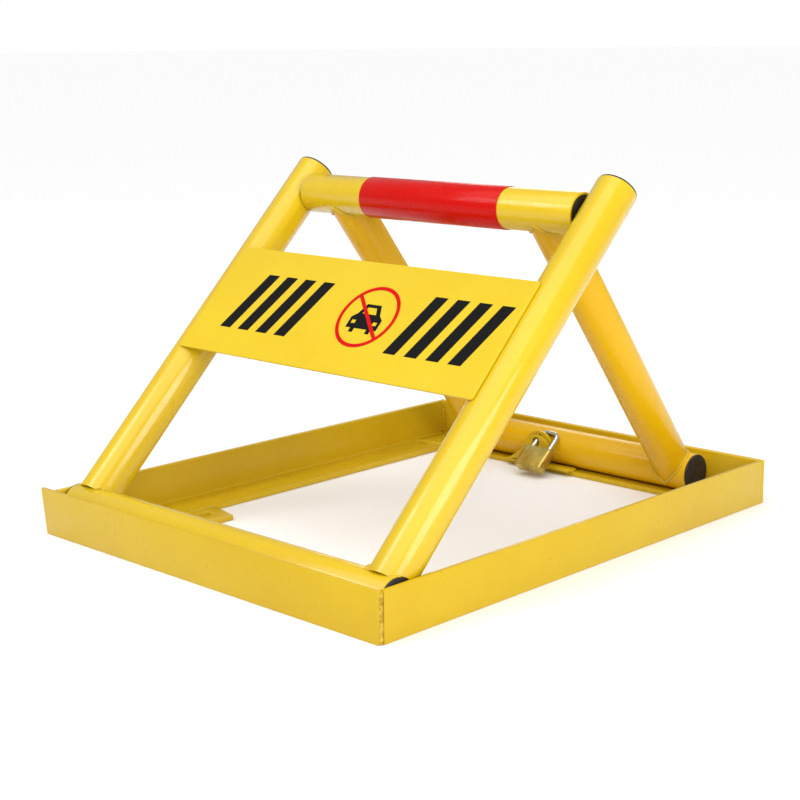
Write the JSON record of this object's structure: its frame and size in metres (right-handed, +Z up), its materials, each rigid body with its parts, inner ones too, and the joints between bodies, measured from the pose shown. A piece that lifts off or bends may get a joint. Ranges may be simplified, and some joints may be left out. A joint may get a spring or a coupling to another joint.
{
  "type": "folding parking lock",
  "caption": "Folding steel parking barrier: tubular A-frame hinged in a flat angle-iron base, with a sign panel, a red band and a padlock through its lock ears.",
  "frame": {"origin": "centre of the overall box on the ground plane", "axes": "+Z up, +Y from the front rail towards the rear rail, +X to the right seen from the front"},
  "size_m": [0.494, 0.6, 0.373],
  "materials": {
    "yellow_paint": "gloss",
    "black_plastic": "satin",
    "red_film": "gloss",
    "brass": "brushed",
    "chrome": "polished",
    "bare_steel": "satin"
  },
  "bodies": {
    "base": {"front_rail": "yellow_paint", "rear_rail": "yellow_paint", "left_rail": "yellow_paint", "right_rail": "yellow_paint", "left_anchor_tab": "yellow_paint", "right_anchor_tab": "yellow_paint", "base_lock_ear": "yellow_paint", "left_pivot_pin": "bare_steel", "right_pivot_pin": "bare_steel"},
    "front_frame": {"front_pivot_tube": "yellow_paint", "left_pivot_cap": "black_plastic", "right_pivot_cap": "black_plastic", "left_front_leg": "yellow_paint", "right_front_leg": "yellow_paint", "left_leg_top_cap": "black_plastic", "right_leg_top_cap": "black_plastic", "left_leg_foot_plug": "black_plastic", "right_leg_foot_plug": "black_plastic", "sign_panel": "yellow_paint", "left_crossbar_pin": "bare_steel", "right_crossbar_pin": "bare_steel"},
    "rear_frame": {"crossbar": "yellow_paint", "left_crossbar_plug": "black_plastic", "right_crossbar_plug": "black_plastic", "reflective_band": "red_film", "left_rear_leg": "yellow_paint", "right_rear_leg": "yellow_paint", "rear_foot_tube": "yellow_paint", "left_rear_foot_cap": "black_plastic", "right_rear_foot_cap": "black_plastic", "tube_lock_ear": "yellow_paint"},
    "padlock": {"padlock_shackle": "chrome", "padlock_case": "brass", "padlock_shackle_spring": "bare_steel"},
    "key_plug": {"padlock_key_plug": "brass"},
    "padlock_bolt": {"padlock_bolt": "bare_steel", "padlock_bolt_spring": "bare_steel"}
  },
  "joints": [
    {"name": "front_raise", "type": "hinge", "parent": "base", "child": "front_frame", "pos_m": [0, -0.271, 0.0308], "axis": [1, 0, 0], "range_deg": [0, 52]},
    {"name": "rear_fold", "type": "hinge", "parent": "front_frame", "child": "rear_frame", "pos_m": [0, 0.03461, 0.33429], "axis": [1, 0, 0], "range_deg": [-83, 0]},
    {"name": "padlock_removal", "type": "slide", "parent": "base", "child": "padlock", "axis": [0, -1, 0], "range_m": [0, 0.43]},
    {"name": "key_turn", "type": "hinge", "parent": "padlock", "child": "key_plug", "pos_m": [-0.0145, 0.24525, 0.0371], "axis": [0, 0.766, 0.6428], "range_deg": [0, 90]},
    {"name": "bolt_retract", "type": "slide", "parent": "padlock", "child": "padlock_bolt", "axis": [1, 0, 0], "range_m": [0, 0.0018]}
  ],
  "couplings": [
    {"joint": "rear_fold", "follows": "front_raise", "ratio": -0.12},
    {"joint": "padlock_removal", "follows": "front_raise", "m_per_rad": 0.4735},
    {"joint": "key_turn", "follows": "front_raise", "ratio": 1.7307},
    {"joint": "bolt_retract", "follows": "front_raise", "m_per_rad": 0.00198}
  ]
}
